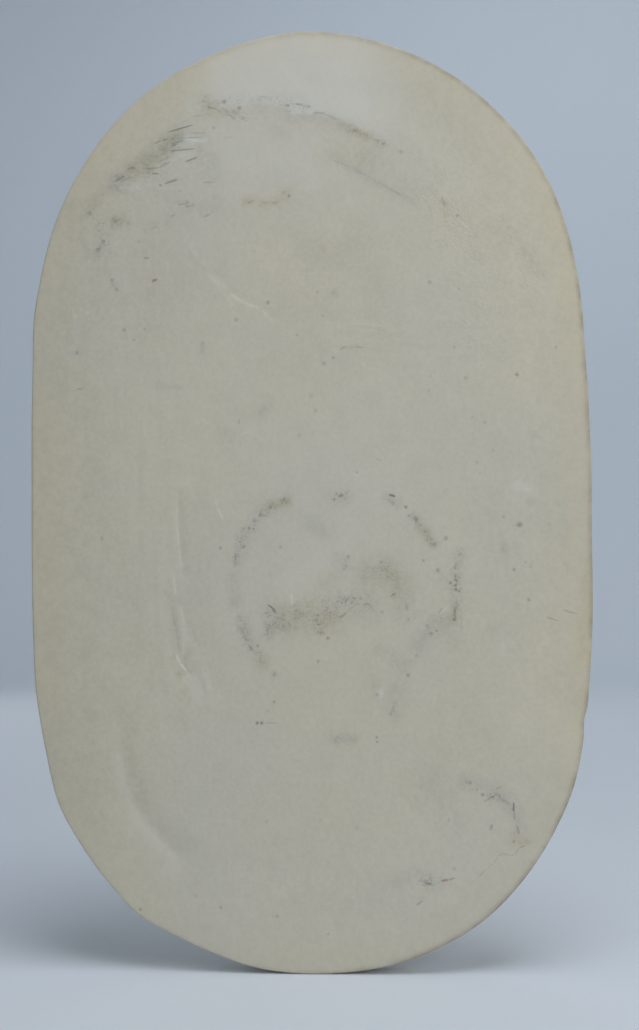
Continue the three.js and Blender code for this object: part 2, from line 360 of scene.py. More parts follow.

# Scratches with dirt in them, and lines of painted shade: from, to, width in mm and strength
dark_scratches_and_shade_lines = [
    # The smear at the upper left
    ((-57, 155), (-45.7, 157.8), 0.6, 1.7), ((-47, 154), (-40, 154.3), 0.5, 0.6),
    ((-51, 152.2), (-41, 152.3), 0.5, 0.8), ((-55.5, 147), (-45, 147.4), 0.6, 1.3),
    ((-55.2, 146.9), (-53, 147.2), 0.9, 0.9), ((-49.5, 142), (-44, 143.8), 0.6, 1.5),
    ((-58.3, 133.3), (-52.7, 134.6), 0.9, 1.3), ((-60.4, 132.5), (-59.3, 132.6), 0.9, 1.0),
    ((-63.3, 137.6), (-60.6, 137.4), 0.7, 1.3), ((-60.5, 139.9), (-55.5, 142.5), 0.7, 0.8),
    ((-65.5, 139.4), (-60.5, 140.1), 0.7, 0.9), ((-74, 140.1), (-70.5, 140.6), 0.8, 0.8),
    ((-79.3, 134.6), (-75.3, 137.2), 0.9, 0.9), ((-62.5, 150.5), (-59.5, 151.6), 0.7, 1.0),
    ((-59, 151.8), (-56.5, 152.2), 0.8, 0.9), ((-55, 149), (-53, 149.6), 0.7, 0.9),
    ((-46.5, 161.4), (-41, 161.5), 0.5, 0.45), ((-42.3, 133), (-37, 132.8), 0.7, 0.6),
    ((-33, 151.8), (-29, 152), 0.7, 0.3), ((-52.5, 124), (-47.5, 124.6), 0.6, 0.7),
    ((-49, 125.5), (-48, 124.9), 0.8, 0.8), ((-49.2, 123.1), (-47.4, 123.2), 0.8, 0.9),
    ((-56, 118.9), (-53.5, 120), 0.8, 0.6), ((-64.5, 113.8), (-61, 115.7), 0.7, 0.5),
    ((-87.5, 105.8), (-85.3, 107), 0.9, 0.9), ((-85, 109), (-83.5, 109.6), 1.0, 0.8),
    ((-80.7, 119), (-80.5, 114), 0.7, 0.5), ((-41.5, 118.3), (-39, 119.6), 0.8, 0.7),
    # Along the edge of the clean top
    ((-40, 165.6), (-35.3, 163.6), 0.6, 0.9), ((-38, 164.9), (-34, 162.6), 0.6, 0.7),
    ((-18, 168.6), (-13.5, 168), 0.7, 0.5), ((-7.2, 164.3), (-5, 164.4), 0.9, 0.9),
    ((-3, 164.8), (0.5, 164.4), 0.7, 0.9), ((0, 164.1), (4, 163.4), 0.5, 0.7),
    ((-7, 162.1), (-4, 161.6), 0.5, 0.6), ((5, 160.8), (9.5, 160.5), 0.7, 0.9),
    ((9, 160.2), (14, 158), 0.6, 0.5), ((21.3, 152.8), (23, 152), 1.1, 0.5),
    ((25.5, 150.9), (27.3, 150.2), 1.1, 0.4), ((30, 148.3), (32.3, 148.2), 0.7, 0.6),
    # The upper right, first a soft line of painted shade under a small step
    ((12, 140.7), (20, 137.6), 0.7, 0.3), ((20, 137.6), (31, 130.6), 0.7, 0.25),
    ((31, 130.6), (41, 124.6), 0.8, 0.35), ((-16.5, 123.8), (-13.5, 123.9), 0.5, 0.6),
    ((-12.5, 123.4), (-10.5, 123.3), 1.1, 0.5), ((-22.7, 123.5), (-20.7, 125), 0.7, 0.7),
    ((-9, 127.4), (-7, 127.7), 1.2, 0.4), ((57.6, 123.3), (58.3, 120.4), 1.0, 0.4),
    # The field above the ring
    ((-96, 47.8), (-93, 47.3), 0.6, 0.9), ((14.5, 61.3), (17, 62.5), 0.8, 0.6),
    ((21, 62.2), (24.5, 61.9), 0.6, 0.5), ((29, 15.9), (31, 14.8), 0.8, 0.4),
    ((-27.6, 33.5), (-27.8, 31.3), 0.9, 0.6),
    # The broken ring and the patch inside it
    ((34, 0.9), (36.4, 0.4), 0.9, 2.0), ((13.4, 0.8), (15.2, 1), 1.2, 0.9),
    ((44.6, -8), (45.2, -9.7), 1.1, 1.0), ((-19.8, -6.8), (-17.4, -6.3), 1.1, 0.6),
    ((-27, -19.9), (-25.3, -19), 0.8, 0.8), ((-29.5, -22), (-29.7, -27), 0.8, 0.6),
    ((-22.5, -9), (-20.8, -8.3), 0.8, 0.8), ((-17, -4.8), (-14.5, -2.2), 0.9, 0.4),
    ((-16.6, -43.2), (-13.1, -46.1), 0.6, 1.9), ((-15, -45.4), (-13.1, -46.6), 0.8, 1.3),
    ((-18.2, -46.8), (-15, -46.3), 0.4, 1.0), ((-17, -48.4), (-14.4, -47), 0.4, 1.0),
    ((-27.2, -53), (-26.2, -57), 0.8, 0.4), ((-24.8, -59.5), (-22.5, -62), 0.8, 0.6),
    ((-17.8, -56), (-16.2, -54.5), 0.7, 0.4), ((13.3, -48.8), (15.6, -47), 1.0, 1.0),
    ((15.6, -47), (20.5, -42.8), 0.7, 0.5), ((5.3, -54), (6.8, -55.8), 0.9, 0.8),
    ((18.5, -41.3), (19.8, -41.2), 0.9, 0.9), ((23, -43.8), (24.4, -43.3), 0.9, 0.8),
    ((33.8, -40.6), (36, -39.4), 0.9, 0.9), ((31, -29.3), (33.5, -30.2), 1.0, 0.3),
    ((34.5, -31.5), (37.5, -34.5), 1.1, 0.2), ((40, -43), (40.6, -46.5), 0.9, 0.6),
    ((53.2, -48), (55.2, -45.3), 0.6, 0.9), ((60.5, -27), (60.2, -30), 0.9, 0.8),
    ((61.8, -24), (62.8, -23.2), 0.9, 0.8), ((59.8, -46), (59.7, -50), 0.9, 0.9),
    ((62.2, -46), (62.5, -56), 0.5, 0.4),
    # To the right of the ring and below it
    ((83.3, -12.5), (86.3, -12.2), 0.5, 0.6), ((103, -46.7), (109.5, -48.7), 0.6, 0.9),
    ((96, -49.3), (102, -51.4), 0.6, 0.9), ((-18, -91.5), (-13.5, -91.7), 0.7, 0.5),
    ((34.7, -84.5), (33.4, -88), 0.8, 0.5),
    # The marks at the lower right
    ((69, -120.4), (70.4, -120.6), 1.1, 1.0), ((70.3, -123.4), (76, -120), 0.7, 0.9),
    ((74.5, -119), (78, -117.3), 0.6, 0.6), ((76, -121.7), (81, -124.6), 0.9, 0.6),
    ((81.9, -123.8), (82.2, -127.4), 0.7, 1.7), ((82.2, -127.4), (82.4, -131.5), 0.7, 0.8),
    ((83, -132.7), (84.2, -136.6), 0.8, 1.0), ((73.5, -132.8), (72.4, -135), 1.0, 1.0),
    ((55.8, -129.8), (56, -131.5), 0.6, 0.6),
    # Painted shade on the shaded walls beside the long groove
    ((-56.6, -46), (-54.6, -52.5), 0.9, 0.25), ((-54.8, -52), (-53, -63), 0.9, 0.2),
    ((-52, -45.5), (-47.6, -54), 0.7, 0.14), ((-47.6, -54), (-43.5, -63), 0.7, 0.14),
    ((-52.2, -66.2), (-48.4, -71.5), 1.0, 0.3), ((-46.5, -70), (-42, -80), 0.7, 0.12),
    # The hair crack at the lower right, dark with dirt and painted shade
    ((86.5, -141), (84, -142), 0.6, 0.9), ((84, -142), (82, -144.7), 0.5, 0.8),
    ((82, -144.7), (80.3, -145.1), 0.5, 0.7), ((80.3, -145.1), (77.5, -144.2), 0.5, 0.7),
    ((77.5, -144.2), (75.5, -145.3), 0.5, 0.7), ((75.5, -145.3), (74, -148), 0.5, 0.5),
    ((74, -148), (70.5, -150.5), 0.5, 0.4), ((70.5, -150.5), (67.3, -154), 0.6, 0.6),
    # The mark to the left of its end
    ((46.6, -156.1), (48.8, -156.4), 0.8, 1.6), ((44, -157), (50.2, -156.8), 0.5, 0.7),
    ((48, -152), (48.4, -155.3), 0.6, 0.6), ((43, -155.2), (46.5, -155.5), 0.5, 0.6),
    ((42.5, -165), (45.2, -162.8), 0.8, 0.9),
]

# The same in rust brown
rusty_scratches = [
    ((52.5, -155.1), (55.5, -154.7), 0.8, 1.2), ((55.5, -154.7), (58, -153.7), 0.6, 1.0),
    ((-67.2, 102), (-65, 101.8), 0.8, 0.8), ((-63.5, 92), (-61.6, 92.9), 1.0, 1.3),
]

# Pin holes with their shade painted in as dark dots, and specks of dirt, from the top down: centre, radius
# in mm and strength
dark_dots = [
    ((-32.6, 167.2), 0.9, 1.3), ((-26.3, 164.3), 0.8, 1.2), ((-29, 162.9), 0.6, 0.7),
    ((-36.9, 156), 0.6, 0.7), ((34, 146.7), 0.8, 0.9), ((41, 143), 0.8, 0.5), ((-51.5, 130), 0.6, 0.5),
    ((-5.8, 126.1), 0.7, 1.2), ((-88.5, 123.6), 0.6, 0.6), ((-90, 122), 0.8, 0.9),
    ((-79.2, 118), 0.7, 0.9), ((-73.6, 117.2), 0.5, 0.5), ((-77, 116.8), 0.6, 0.2),
    ((63.7, 115.5), 0.6, 0.9), ((-68.9, 109), 0.6, 0.5), ((-80.6, 93), 0.6, 0.8), ((-78.6, 89), 0.6, 0.8),
    ((52, 88), 0.8, 0.8), ((5.5, 85.3), 0.8, 0.5), ((64, 85), 0.5, 0.5), ((-15, 81.6), 0.8, 1.0),
    ((7.7, 75.5), 0.7, 0.5), ((-28.5, 75), 0.9, 0.6), ((-67, 72), 0.6, 0.6), ((-75.5, 71.7), 0.8, 0.9),
    ((-3.3, 68), 0.5, 0.8), ((-71.5, 67.4), 0.6, 0.7), ((-95.8, 62.8), 0.7, 0.9), ((61.5, 61), 0.5, 0.6),
    ((102.8, 60), 0.6, 0.6), ((11.8, 58), 0.6, 1.0), ((7.8, 55.7), 0.9, 0.8), ((51.5, 49.5), 0.5, 0.5),
    ((86.8, 49.2), 0.7, 1.3), ((66, 48.3), 0.8, 0.5), ((50.8, 43.5), 0.5, 0.6), ((2.5, 42.5), 1.0, 0.4),
    ((4.2, 36.4), 0.9, 0.5), ((68.3, 32.3), 0.4, 0.5), ((73.3, 30), 0.7, 0.6), ((-2.7, 26.2), 0.9, 0.4),
    ((76.5, 18.2), 0.6, 0.5), ((70, 13.6), 0.6, 0.5), ((21, 10.4), 0.6, 0.5), ((71, 9.3), 0.5, 0.4),
    ((16.4, 1.9), 0.5, 0.6), ((12.4, 1.8), 0.5, 0.8), ((14, 1), 0.7, 0.8), ((15.7, -0.4), 0.5, 0.6),
    ((11.3, -0.8), 0.5, 0.7), ((35.3, -2.7), 0.8, 0.6), ((40.8, -4.2), 0.7, 1.4), ((42, -7.6), 0.5, 0.9),
    ((80.3, -8.7), 0.6, 0.8), ((-24, -11.7), 0.6, 0.9), ((-26, -12), 0.5, 0.7), ((86.6, -12), 1.1, 1.3),
    ((98.5, -12), 0.6, 0.4), ((-22, -12.2), 0.5, 0.8), ((-85.5, -15), 0.8, 0.6), ((56.7, -17.2), 0.9, 1.0),
    ((52, -19.5), 0.7, 0.7), ((-35.8, -19.7), 0.7, 1.0), ((-11, -19.8), 0.6, 0.7), ((17, -23.8), 0.7, 0.9),
    ((47.5, -26.1), 0.6, 0.9), ((30.4, -26.5), 0.7, 0.6), ((88.5, -27.5), 0.5, 0.6), ((16, -28), 0.6, 0.7),
    ((15.1, -29), 0.5, 0.6), ((53.3, -30.2), 0.8, 0.9), ((84, -30.2), 0.7, 1.0), ((60.3, -32.4), 0.5, 1.1),
    ((60.7, -34.2), 0.5, 1.2), ((58.3, -35.3), 0.6, 1.3), ((60.3, -36.4), 0.5, 1.1),
    ((62.4, -37.7), 0.4, 0.8), ((60.5, -38), 0.6, 1.3), ((61.6, -38.6), 0.6, 1.2),
    ((21.5, -41.2), 0.6, 0.8), ((89.7, -42.5), 0.7, 1.1), ((12.3, -42.6), 0.6, 0.7),
    ((8, -44.8), 0.6, 0.8), ((30.7, -47), 0.6, 0.7), ((4, -47.7), 0.6, 0.7), ((-28, -48), 0.6, 0.5),
    ((41, -49.8), 0.5, 0.6), ((59.5, -50.3), 0.7, 1.3), ((48.7, -52.7), 0.7, 0.7),
    ((52.2, -54.7), 0.6, 1.0), ((50.2, -55.7), 0.7, 1.0), ((8, -57.2), 0.7, 1.3),
    ((-20.9, -60.2), 0.6, 0.8), ((44, -64.8), 0.5, 0.8), ((4, -66.5), 0.7, 0.9), ((-14, -71.8), 0.7, 0.6),
    ((40.5, -72.6), 0.8, 1.1), ((28, -80.4), 0.6, 0.8), ((-14.3, -83), 0.6, 1.1), ((-17, -86.7), 0.6, 0.4),
    ((33.3, -88.3), 0.6, 0.8), ((-21.4, -91.5), 0.7, 1.6), ((-19.4, -91.5), 0.7, 1.6),
    ((27.5, -97.6), 0.5, 1.2), ((27.7, -99.4), 0.5, 1.1), ((64.8, -115.9), 0.7, 1.0),
    ((4.3, -131), 0.8, 0.3), ((-18, -131.5), 0.7, 0.4), ((19, -133.8), 0.8, 0.4), ((86.8, -139), 0.5, 0.6),
    ((81.8, -139.3), 0.7, 0.8), ((57.7, -150.2), 0.9, 0.5), ((-47.2, -161.7), 0.6, 0.5),
    ((-37, -166.3), 0.6, 0.9), ((-70.4, -167.4), 0.6, 1.2), ((-14, -169.7), 0.6, 0.8),
    ((-15.7, -169.8), 0.4, 0.6), ((6.6, -176.6), 0.5, 0.8),
]

# Scratches and thin burrs that show clean plaster, and painted highlights along the long groove
light_scratches_and_highlights = [
    # Burrs along the long groove: clean plaster, with a painted highlight on the groove's lit wall
    ((-54, 0), (-54, -10), 0.6, 0.4), ((-54, -10), (-53.2, -19), 0.8, 0.9),
    ((-53.2, -19), (-52.2, -28), 0.8, 0.7), ((-55.5, -31), (-54.8, -39), 0.9, 0.7),
    ((-52.8, -44), (-51.2, -51), 0.7, 0.5), ((-50, -47), (-48, -54), 0.6, 0.45),
    ((-51.7, -56), (-51.5, -65), 0.6, 0.6), ((-54.7, -63.5), (-53.2, -67), 0.9, 1.7),
    ((-53.2, -67), (-50.4, -69.9), 0.9, 1.7), ((-50, -70.5), (-48.3, -73.5), 0.9, 0.5),
    ((-47, -60), (-44, -68), 0.7, 0.35), ((-44, -68), (-40.5, -80), 0.7, 0.35),
    # To the left of the ring
    ((-38, 1.5), (-37, -3), 0.7, 0.8), ((-37, -3), (-34.6, -8), 0.8, 1.2),
    # The long scratch that runs down from the upper left
    ((-47.5, 105.5), (-44.5, 101), 0.7, 0.4), ((-43.5, 100), (-41, 98), 0.9, 0.5),
    ((-40.5, 94.5), (-37, 91), 0.9, 0.8), ((-37, 91), (-34.5, 87.3), 0.8, 0.6),
    ((-34.5, 87.3), (-29, 80.3), 0.8, 0.7), ((-37.5, 93), (-33.5, 88.5), 0.7, 0.5),
    ((-30.5, 85.8), (-25, 82), 0.9, 1.0), ((-25, 82), (-18.5, 79.3), 0.9, 1.1),
    ((-17.3, 78.5), (-15, 75.7), 0.8, 0.7), ((-15, 75.7), (-12.5, 72.5), 0.7, 0.4),
    # Short ones on the field
    ((-6.7, -38.5), (-6.5, -43.7), 1.1, 1.2), ((-5, -30), (1.5, -30), 0.7, 0.4),
    ((19.5, 9.2), (22, 9.2), 0.8, 0.8), ((-28, 26.5), (-22, 28.5), 0.8, 0.4),
    ((-43.6, 34), (-41, 32), 0.8, 0.4), ((64.5, 113.5), (69, 109), 0.6, 0.6),
    ((17, 72.3), (32, 70.6), 0.7, 0.3), ((23, 69.5), (33, 68.2), 0.7, 0.3),
    # Across the smear at the upper left
    ((-49, 151.8), (-41.5, 150.5), 0.9, 1.0), ((-53, 143.8), (-47, 145.6), 0.5, 0.5),
    ((-50, 139.8), (-45, 141.4), 0.5, 0.5), ((-47.5, 137), (-41, 139.4), 0.5, 0.5),
    ((-55, 135.8), (-50, 137.6), 0.5, 0.4), ((-44, 141.5), (-38.5, 143.6), 0.5, 0.4),
    # Near the edges
    ((88.4, 2.6), (91, 2), 0.9, 0.7), ((95.3, -49.3), (96.5, -49.5), 0.6, 0.8),
    ((-70.5, 132.3), (-69.3, 131.7), 1.0, 0.6),
    # Small chips, as centre, radius and strength
    ((-96.5, 78), 0.8, 0.9), ((-91, 79.5), 0.7, 1.0), ((-88.7, 78.3), 0.6, 0.9), ((-86.5, 77.5), 0.5, 0.8),
    ((-80, 80.3), 0.6, 0.7), ((-92, 84.5), 0.6, 0.6), ((-84, 83), 0.5, 0.6), ((-60.3, 131.8), 0.6, 0.6),
    ((-62.5, 126.5), 0.6, 0.6),
]

# Colours of the plaster, of what has got on it, and of the shade and highlights painted on it
plaster_warm = "#d4ccb6"
plaster_cool = "#cfc9b8"
plaster_shade = "#c4bdaa"
plaster_white = "#dddad0"
# Fresh plaster, and painted highlights along the long groove
fresh_plaster_and_highlight = "#e6e1cf"
stain_yellow = "#a89a66"
# Grey of dirt, and of painted shade along grooves and creases
grey_of_dirt_and_shade = "#9b988f"
# Dirt and painted shade of the very edge
rim_dirt_and_shade = "#857660"
rim_yellow = "#cbbb92"
dirt_grey = "#5e5e60"
dirt_olive = "#6a6444"
# Dirt, and the painted shade of the pin holes
dirt_and_pit_shade_brown = "#3f3830"
# Dirt, and painted shade along grooves, the hair crack and a small step
dirt_and_shade_black = "#3a3a3e"
rust = "#7a4a33"

# Dry gypsum is matt, and its shine is weak
plaster_roughness = 0.82
plaster_specular = 0.35

# Patterns in round patches: the patches' size in mm, and how many finer layers they hold. The grain is
# drawn coarser than the real one, which is too fine to show.
patches = {
    "clouds": (70, 3.0),
    "mottle": (7, 4.0),
    "fine_mottle": (2, 3.0),
    "blotches": (4, 2.0),
    "grain": (0.8, 3.0),
}

# Patterns in dashes: slope in degrees, length and width in mm, and how many finer layers they hold
dashes = {
    "specked": (0, 0.8, 0.8, 2.0),
    "wiped": (17, 4, 0.6, 2.0),
    "trailed": (-24, 4, 0.6, 2.0),
    "ripples": (-45, 1.5, 1, 1.0),
}

# Unlike patches of the casting: the two levels of the pattern between which they come out, how much they
# show at most, and their colour
casting_patches = {
    "clouds": (0.35, 0.65, 1.0, plaster_cool),
    "mottle": (0.3, 0.75, 0.3, plaster_shade),
    "fine_mottle": (0.35, 0.7, 0.12, grey_of_dirt_and_shade),
}

# What a pattern makes uneven: the pattern, and the factors at these two levels of it
pattern_low = 0.35
pattern_high = 0.65
unevenness = {
    "rim": ("mottle", 0.25, 0.72),
    "specks": ("specked", 0.75, 1.2),
    "blotches": ("blotches", 0.6, 1.25),
    "ripples": ("mottle", 0.3, 1.5),
}

# How far in from the rim the dark edge and age show, how strong they are where they are weakest, and the two
# x or z between which they grow to their full strength. The dark edge is dirt with painted shade on the
# corner.
dirty_shaded_edge_width = 1.6
dirty_shaded_edge_least = 0.15
dirty_shaded_edge_growth = (-30, 60)
aged_width = 14
aged_least = 0.3
aged_growth = (-160, -100)
aged_strength = 0.23

# Stains reach this far down the edge
stain_depth = 6

# Soft stains, and the painted shade and highlights among them, in the order that they lie: colour, how much
# they show at most, and whether specks and blotches make them uneven
veils = {
    "kept_clean": (plaster_white, 0.5, False),
    "whitened": (plaster_white, 0.8, False),
    "yellowed": (stain_yellow, 0.4, True),
    "greyed": (grey_of_dirt_and_shade, 0.6, True),
}

# Dirt shows in the pores where a pattern is above this level. The level sinks as a place gets dirtier, and
# the dirt is at its strongest from this span above the level.
pore_patterns = ["specked", "wiped", "trailed"]
pore_level = 0.66
pore_level_sink = 0.26
pore_level_span = 0.2
pore_strength = 0.55

# Single marks in the order that they lie: colour and strength
single_marks = [
    (light_scratches_and_highlights, fresh_plaster_and_highlight, 0.32),
    (dark_scratches_and_shade_lines, dirt_and_shade_black, 0.32),
    (rusty_scratches, rust, 0.45),
    (dark_dots, dirt_and_pit_shade_brown, 0.42),
]

# A mark is strongest along its middle and fades to its rim, so it is drawn this much wider than it looks.
# Depth counts for little in it: it follows the relief and doesn't reach the wall side.
scratch_spread = 0.8
dot_spread = 1.5
depth_share = 0.15

# No mark is quite straight: the length of its wavers and how far they go, in mm
waver_length = 4
waver_detail = 2.0
waver_reach = 0.9

# Height in mm of the relief that is too fine for the mesh
grain_height = 0.02
ripple_height = 0.16

# The plaque is shaded in zones, split at these x and z, so that each carries only the marks near it
zone_columns = [-20, 45]
zone_rows = [-75, 10, 100]
zone_overlap = 3

# Cells of the fine mesh: on the seen side, down the edge, and on the wall side. Round the wall side there is
# one cell to "wall_side_thinning" cells of the edge.
cells_across = 204
cells_up = 346
seen_corner_steps = 5
edge_wall_steps = 3
wall_corner_steps = 5
wall_side_thinning = 4
wall_side_rings = 36

# The studio in metres: a round floor that curves up into a wall
bowl_flat_radius = 1.6
bowl_curve_radius = 0.5
bowl_wall_top = 1.5
bowl_flat_rings = 4
bowl_curve_rings = 12
bowl_sides = 96
bowl_colour = "#dde3e8"
bowl_roughness = 0.9

# Lights: place and aim in metres, width in metres, power in watts, and colour
lights = {
    "key": ((0.62, -0.66, 0.3), (0, 0, 0), 0.6, 2.25, "#fffbf7"),
    "fill": ((-1.2, -1.3, 0.5), (0, 0, 0), 1.6, 1.22, "#fdfbfa"),
    "floor_light": ((0.3, -0.5, 1.3), (0.3, -0.4, -0.2), 1.0, 11, "#f0f6ff"),
    "wall_light": ((0.2, 1.0, 1.2), (0.2, 2.0, 0.1), 1.0, 5.5, "#f0f6ff"),
    "back_light": ((-0.8, 1.2, 0.5), (0, 0, 0), 1.0, 1.5, "#fdfbfa"),
}
sky_colour = "#ccd6e2"
sky_strength = 0.2

# The camera: how far right of, out from and above the middle of the seen side it is, in mm, its turn in
# degrees, and its focal length and the photograph's height in pixels
camera_right = 51.0
camera_out = 571.7
camera_up = -34.8
camera_turn = (92.79, 0.72, 4.605)
focal_pixels = 1400
image_height = 1030
sensor_width = 36
nearest_shown = 0.01


def linear(hex_colour):
    """An sRGB hex colour as the linear colour that shaders and lights take."""
    channels = [int(hex_colour[i:i + 2], 16) / 255 for i in (1, 3, 5)]
    return [c / 12.92 if c <= 0.04045 else ((c + 0.055) / 1.055) ** 2.4 for c in channels] + [1.0]


def smoothstep(low, high, value):
    share = np.clip((value - low) / (high - low), 0, 1)
    return share * share * (3 - 2 * share)


def bell(away, reach):
    return np.exp(-(away / reach) ** 2)


def distance_to_path(x, z, path):
    """Distance from each place to the nearest point of a path of straight pieces."""
    nearest = np.full(np.shape(x), np.inf)
    for (x0, z0), (x1, z1) in zip(path[:-1], path[1:]):
        run_x, run_z = x1 - x0, z1 - z0
        along = np.clip(((x - x0) * run_x + (z - z0) * run_z) / (run_x ** 2 + run_z ** 2), 0, 1)
        nearest = np.minimum(nearest, np.hypot(x - x0 - along * run_x, z - z0 - along * run_z))
    return nearest


def lumps(x, z, other):
    """Smooth unevenness with hills one unit wide, stretched to run from about -1 to 1."""
    stretch = 1.6
    places = np.broadcast_arrays(x, z, other)
    return np.array([noise.noise(Vector(place)) for place in zip(*places)]) * stretch


def even_radius(angle):
    """The distance from the middle to the even curve in each direction, found by halving."""
    halvings = 40
    across = np.abs(np.cos(angle)) / half_width
    up = np.abs(np.sin(angle)) / half_height
    inside = np.zeros_like(angle)
    outside = np.full_like(angle, half_width + half_height)
    for _ in range(halvings):
        middle = (inside + outside) / 2
        within = (middle * across) ** side_power + (middle * up) ** end_power < 1
        inside = np.where(within, middle, inside)
        outside = np.where(within, outside, middle)
    return inside


def edge_radius(angle):
    radius = even_radius(angle)
    for at, reach, out in edge_departures + [edge_chip]:
        away = (np.degrees(angle) - at + 180) % 360 - 180
        radius += out * bell(away, reach)
    return radius


def hollow_drop(x, z):
    """How deep the shallow hollow is, which runs along a smooth curve and fades to its two ends."""
    (x0, z0), (x1, z1), (x2, z2) = hollow_line
    turns = [i / hollow_steps for i in range(hollow_steps + 1)]
    path = [((1 - t) ** 2 * x0 + 2 * t * (1 - t) * x1 + t ** 2 * x2,
             (1 - t) ** 2 * z0 + 2 * t * (1 - t) * z1 + t ** 2 * z2) for t in turns]
    from_middle = np.abs(z - (z0 + z2) / 2) / abs(z0 - z2) * 2
    fade = np.cos(np.clip(from_middle, 0, 1) * math.pi / 2)
    return hollow_depth * fade * bell(distance_to_path(x, z, path), hollow_half_width)


def seen_side_drop(x, z, to_edge):
    """How far the seen side lies behind its highest level."""
    in_band = np.clip(1 - to_edge / band_width, 0, 1)
    step = smoothstep(0, band_step_width, band_width - to_edge)
    drop = band_step_drop * step + band_edge_drop * in_band ** 2 + hollow_drop(x, z)
    for path, half, height in trowel_marks:
        drop = drop - height * bell(distance_to_path(x, z, path), half)
    for height, size, seed in waves:
        drop = drop + height * (1 - lumps(x / size, z / size, seed)) / 2
    for path, half, slope, height in strokes:
        turn = math.radians(slope)
        along = (x * math.cos(turn) + z * math.sin(turn)) / stroke_length
        across = (z * math.cos(turn) - x * math.sin(turn)) / stroke_width
        drop = drop - height * lumps(along, across, slope) * bell(distance_to_path(x, z, path), half)
    return drop


def edge_section():
    """The edge's section from the seen side to the wall side, as (inset from the outline, depth)."""
    steps = []
    for i in range(seen_corner_steps + 1):
        turn = i / seen_corner_steps * math.pi / 2
        steps.append((seen_corner_radius * (1 - math.sin(turn)), seen_corner_radius * (1 - math.cos(turn))))
    wall_bottom = thickness - wall_corner_radius
    for i in range(1, edge_wall_steps):
        share = i / edge_wall_steps
        steps.append((wall_lean * share, seen_corner_radius + (wall_bottom - seen_corner_radius) * share))
    for i in range(wall_corner_steps + 1):
        turn = i / wall_corner_steps * math.pi / 2
        steps.append((wall_lean + wall_corner_radius * (1 - math.cos(turn)),
                      thickness - wall_corner_radius * (1 - math.sin(turn))))
    return steps


def add_masks(mesh, places):
    """Writes at each vertex how strong each stain and each painted shade and highlight is there, how clean
    it stayed, how yellowed its rim is, and how dark its very edge is with dirt and painted shade.
    """
    x, y, z = places.T
    to_edge = np.maximum(edge_radius(np.arctan2(z, x)) - np.hypot(x, z), 0)
    seen = 1 - smoothstep(0, stain_depth, y - seen_level)
    masks = {}
    for name, marks in stains.items():
        masks[name] = np.zeros(len(x))
        for path, half, strongest in marks:
            here = strongest * bell(distance_to_path(x, z, path), half) * seen
            masks[name] = np.maximum(masks[name], here)
    above_edge = smoothstep(-clean_edge_blur, clean_edge_blur, z - np.interp(x, *zip(*clean_edge)))
    between = smoothstep(*clean_start, x) * (1 - smoothstep(*clean_end, x))
    masks["kept_clean"] = above_edge * between * smoothstep(0, clean_rim_blur, to_edge) * seen
    # The very edge: dirt and painted shade, faint on the left and full on the right
    dirty_shaded_edge = dirty_shaded_edge_least + (1 - dirty_shaded_edge_least) * smoothstep(*dirty_shaded_edge_growth, x)
    masks["dirty_shaded_edge"] = bell(to_edge, dirty_shaded_edge_width) * dirty_shaded_edge * seen
    aged = aged_least + (1 - aged_least) * smoothstep(*aged_growth, z)
    masks["aged"] = bell(to_edge, aged_width) * aged * seen
    for name, strength in masks.items():
        mesh.attributes.new(name, "FLOAT", "POINT").data.foreach_set("value", strength)


